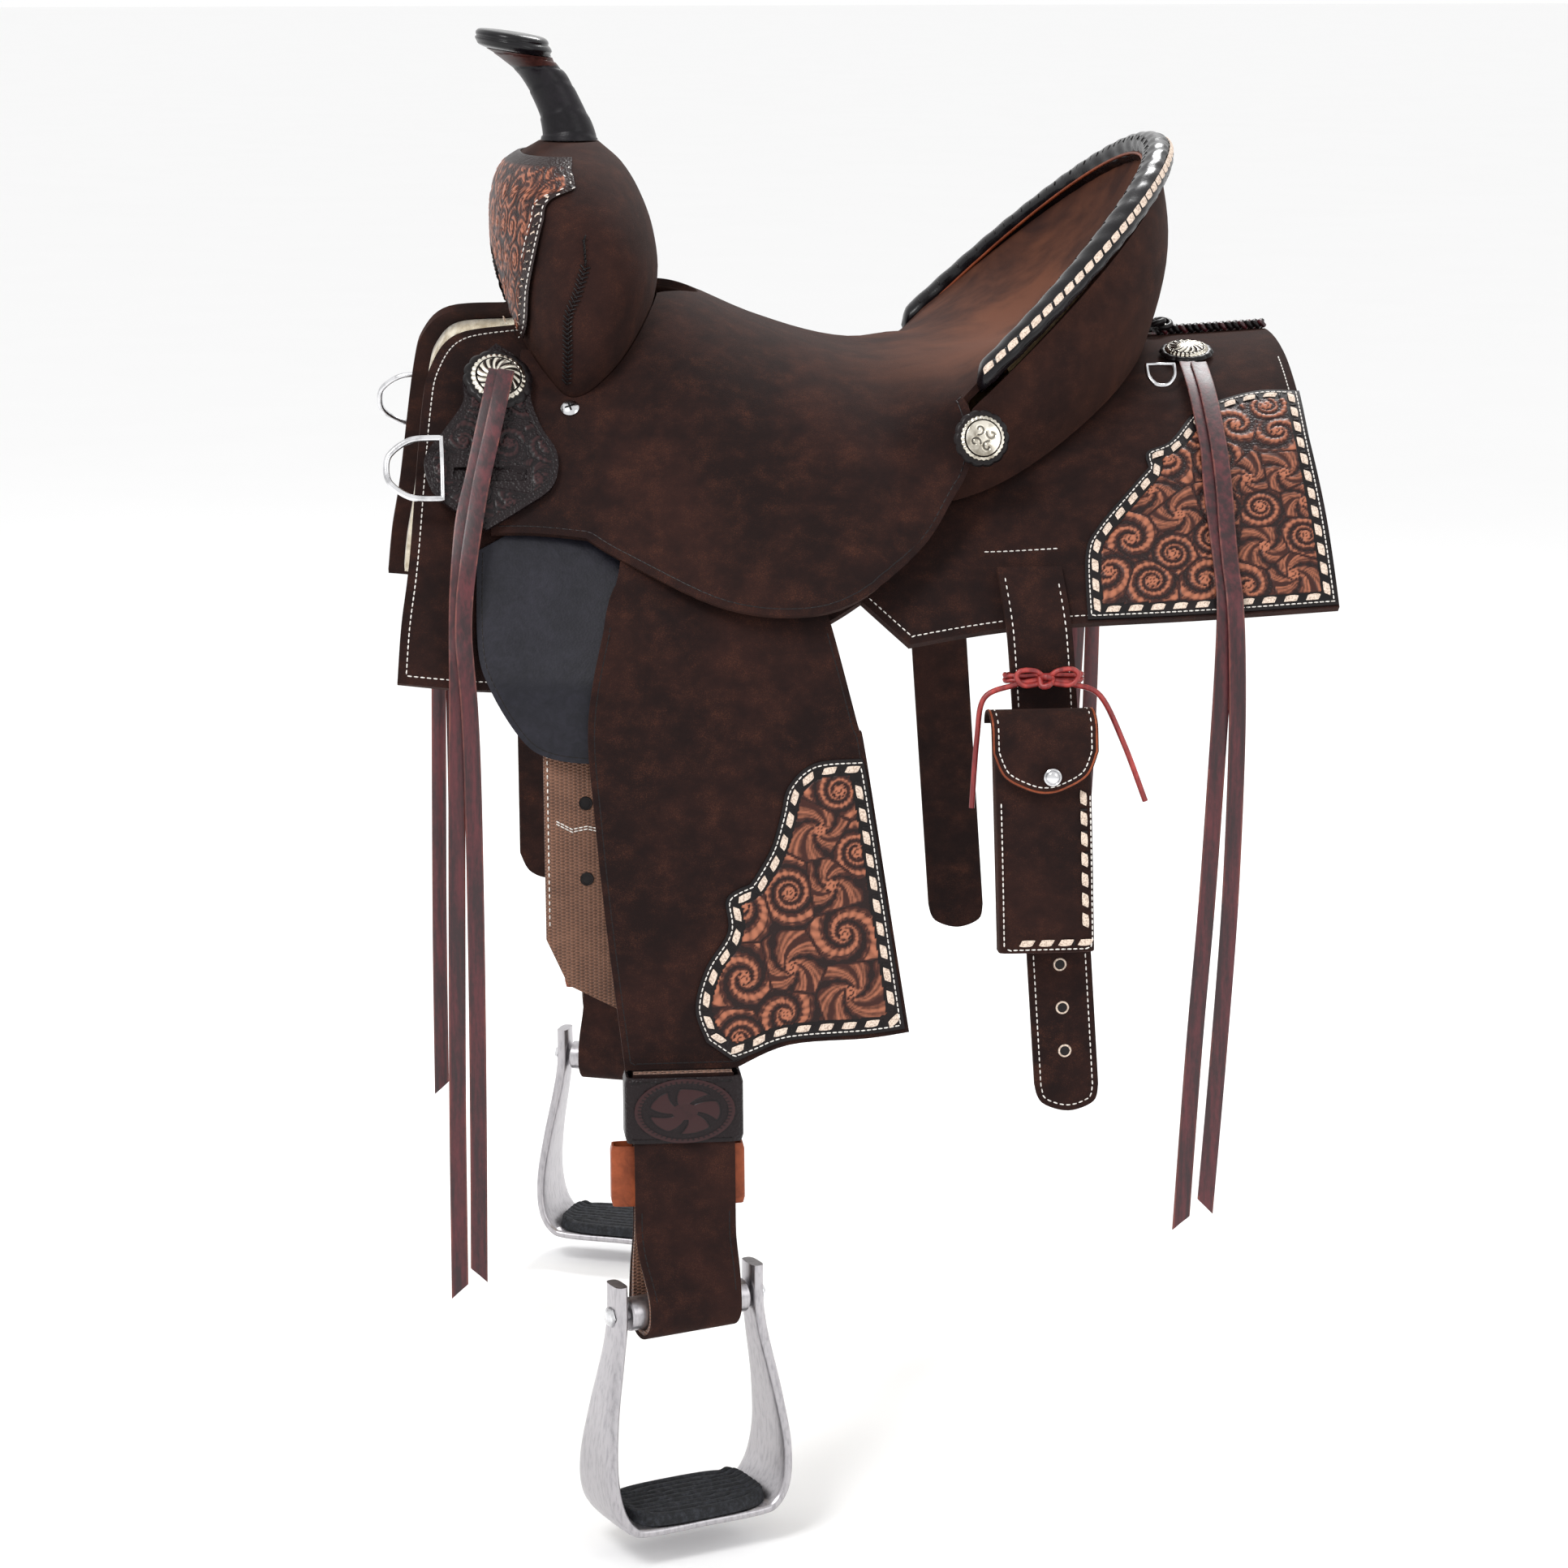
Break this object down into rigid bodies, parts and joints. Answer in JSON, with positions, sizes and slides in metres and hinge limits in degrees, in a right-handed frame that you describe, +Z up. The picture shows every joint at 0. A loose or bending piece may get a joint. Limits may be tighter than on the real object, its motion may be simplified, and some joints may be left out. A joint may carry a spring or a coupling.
{
  "type": "western saddle",
  "caption": "Western riding saddle with horn, swell, deep seat and cantle, square skirts with fleece, fenders with stirrups that swing, saddle strings, cinch straps and a billet pouch.",
  "frame": {"origin": "centre plane point under the seat where a rack's ridge carries the tree", "axes": "-X forward to the horn, -Y to the near (left) side, +Z up"},
  "size_m": [0.6275, 0.7024, 0.969],
  "materials": {
    "rough_out": "rough-out dark brown leather",
    "smooth_leather": "smooth black leather, waxed",
    "tooled_leather": "floral-tooled leather, copper highlights on dark ground",
    "orange_leather": "orange-brown latigo leather",
    "string_leather": "burgundy latigo thong",
    "webbing": "brown nylon webbing",
    "fleece": "wool fleece",
    "tree_wood": "bare tree wood",
    "silver": "engraved silver plate",
    "cast_aluminium": "satin cast aluminium",
    "black_rubber": "ridged rubber"
  },
  "bodies": {
    "saddle": {"cantle_back": "rough_out", "cantle_concho_left": "silver", "cantle_concho_right": "silver", "cantle_roll": "smooth_leather", "fleece_left": "fleece", "fleece_right": "fleece", "front_concho_left": "silver", "front_concho_right": "silver", "front_strings_left": "string_leather", "front_strings_right": "string_leather", "gullet_plate": "tooled_leather", "horn_cap": "smooth_leather", "horn_neck": "smooth_leather", "jockey_screw_left": "silver", "jockey_screw_right": "silver", "latigo_keeper_left": "tooled_leather", "latigo_keeper_right": "tooled_leather", "rear_concho_left": "silver", "rear_concho_right": "silver", "rear_strings_left": "string_leather", "rear_strings_right": "string_leather", "rigging_flap_left": "smooth_leather", "rigging_flap_right": "smooth_leather", "seat": "rough_out", "skirt_lacing": "smooth_leather", "skirt_left": "rough_out", "skirt_right": "rough_out", "swell_cover": "rough_out", "tree_bar_left": "tree_wood", "tree_bar_right": "tree_wood", "tree_cantle": "tree_wood", "tree_fork": "tree_wood"},
    "fender_top_left": {"stirrup_strap_left": "rough_out"},
    "fender_leg_left": {"fender_left": "rough_out", "leather_loop_left": "rough_out", "hobble_strap_left": "tooled_leather"},
    "sleeve_left": {"buckle_sleeve_left": "orange_leather"},
    "stirrup_unit_left": {"stirrup_left": "cast_aluminium", "stirrup_tread_left": "black_rubber", "stirrup_roller_left": "cast_aluminium"},
    "front_dee_ring_left": {"front_dee_left": "silver"},
    "rear_dee_ring_left": {"rear_dee_left": "silver"},
    "fender_top_right": {"stirrup_strap_right": "rough_out"},
    "fender_leg_right": {"fender_right": "rough_out", "leather_loop_right": "rough_out", "hobble_strap_right": "tooled_leather"},
    "sleeve_right": {"buckle_sleeve_right": "orange_leather"},
    "stirrup_unit_right": {"stirrup_right": "cast_aluminium", "stirrup_tread_right": "black_rubber", "stirrup_roller_right": "cast_aluminium"},
    "front_dee_ring_right": {"front_dee_right": "silver"},
    "rear_dee_ring_right": {"rear_dee_right": "silver"},
    "billet_left": {"flank_billet_left": "rough_out", "pouch": "rough_out", "thong_tie": "string_leather"},
    "billet_right": {"flank_billet_right": "rough_out"},
    "pouch_lid": {"pouch_flap": "rough_out", "pouch_snap": "silver"},
    "latigo_strap": {"latigo": "webbing"},
    "off_billet_strap": {"off_billet": "rough_out"}
  },
  "joints": [
    {"name": "fender_swing_left", "type": "hinge", "parent": "saddle", "child": "fender_top_left", "pos_m": [-0.073, -0.19, -0.03], "axis": [0, 1, 0], "range_deg": [-6, 8]},
    {"name": "fender_lift_left", "type": "hinge", "parent": "fender_top_left", "child": "fender_leg_left", "pos_m": [-0.073, -0.2505, -0.107], "axis": [-1, 0, 0], "range_deg": [0, 75]},
    {"name": "sleeve_slide_left", "type": "slide", "parent": "fender_leg_left", "child": "sleeve_left", "axis": [0, 0, 1], "range_m": [-0.008, 0.005]},
    {"name": "stirrup_tip_left", "type": "hinge", "parent": "fender_leg_left", "child": "stirrup_unit_left", "pos_m": [-0.097, -0.3, -0.556], "axis": [0.9272, 0.3746, 0], "range_deg": [-35, 35]},
    {"name": "flank_billet_lift_left", "type": "hinge", "parent": "saddle", "child": "billet_left", "pos_m": [0.139, -0.226, -0.078], "axis": [-1, 0, 0], "range_deg": [0, 50]},
    {"name": "front_dee_turn_left", "type": "hinge", "parent": "saddle", "child": "front_dee_ring_left", "pos_m": [-0.2455, -0.196, -0.012], "axis": [0, -0.3714, -0.9285], "range_deg": [-60, 0]},
    {"name": "rear_dee_lift_left", "type": "hinge", "parent": "saddle", "child": "rear_dee_ring_left", "pos_m": [0.248, -0.105, 0.0405], "axis": [-1, 0, 0], "range_deg": [0, 60]},
    {"name": "fender_swing_right", "type": "hinge", "parent": "saddle", "child": "fender_top_right", "pos_m": [-0.073, 0.19, -0.03], "axis": [0, 1, 0], "range_deg": [-12, 8]},
    {"name": "fender_lift_right", "type": "hinge", "parent": "fender_top_right", "child": "fender_leg_right", "pos_m": [-0.073, 0.2505, -0.107], "axis": [1, 0, 0], "range_deg": [0, 75]},
    {"name": "sleeve_slide_right", "type": "slide", "parent": "fender_leg_right", "child": "sleeve_right", "axis": [0, 0, 1], "range_m": [-0.008, 0.005]},
    {"name": "stirrup_tip_right", "type": "hinge", "parent": "fender_leg_right", "child": "stirrup_unit_right", "pos_m": [-0.097, 0.3, -0.556], "axis": [0.9272, -0.3746, 0], "range_deg": [-35, 35]},
    {"name": "flank_billet_lift_right", "type": "hinge", "parent": "saddle", "child": "billet_right", "pos_m": [0.139, 0.226, -0.078], "axis": [1, 0, 0], "range_deg": [0, 50]},
    {"name": "front_dee_turn_right", "type": "hinge", "parent": "saddle", "child": "front_dee_ring_right", "pos_m": [-0.2455, 0.196, -0.012], "axis": [0, 0.3714, -0.9285], "range_deg": [0, 60]},
    {"name": "rear_dee_lift_right", "type": "hinge", "parent": "saddle", "child": "rear_dee_ring_right", "pos_m": [0.248, 0.105, 0.0405], "axis": [1, 0, 0], "range_deg": [0, 60]},
    {"name": "latigo_swing", "type": "hinge", "parent": "saddle", "child": "latigo_strap", "pos_m": [-0.1605, -0.2405, -0.162], "axis": [1, 0, 0], "range_deg": [0, 30]},
    {"name": "off_billet_swing", "type": "hinge", "parent": "saddle", "child": "off_billet_strap", "pos_m": [-0.1605, 0.2405, -0.162], "axis": [-1, 0, 0], "range_deg": [0, 30]},
    {"name": "pouch_flap_open", "type": "hinge", "parent": "billet_left", "child": "pouch_lid", "pos_m": [0.14, -0.2655, -0.1655], "axis": [-1, 0, 0], "range_deg": [0, 55]}
  ]
}
